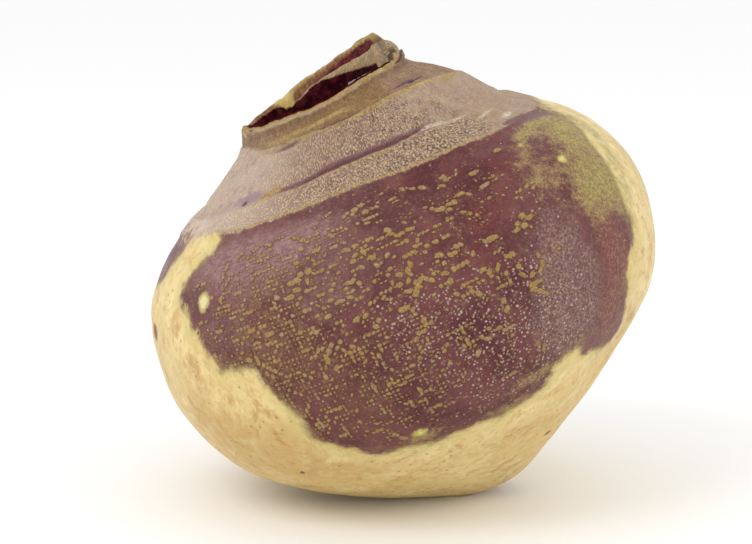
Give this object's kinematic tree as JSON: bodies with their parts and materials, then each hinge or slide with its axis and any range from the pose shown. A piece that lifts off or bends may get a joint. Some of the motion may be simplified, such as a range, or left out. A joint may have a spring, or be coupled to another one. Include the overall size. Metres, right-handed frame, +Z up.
{
  "type": "rutabaga",
  "caption": "Whole rutabaga, a purple-shouldered root vegetable with a ringed neck and a cut crown, lying on a small flat spot of its flank.",
  "frame": {"origin": "centre of the bounding box in X and Y, at the level of the flat spot that it rests on", "axes": "+Z up as it lies; +X from the crown's side to the root end's side, the crown leaning 25 degrees towards -X; -Y is the side that the picture shows"},
  "size_m": [0.1218, 0.1202, 0.1105],
  "materials": {
    "rutabaga_skin": "waxy, semi-matte root skin: dull purple with corky tan flecks over the shoulder, cream below, and a tan, ringed neck"
  },
  "bodies": {
    "root": {"rutabaga": "rutabaga_skin"}
  },
  "joints": []
}
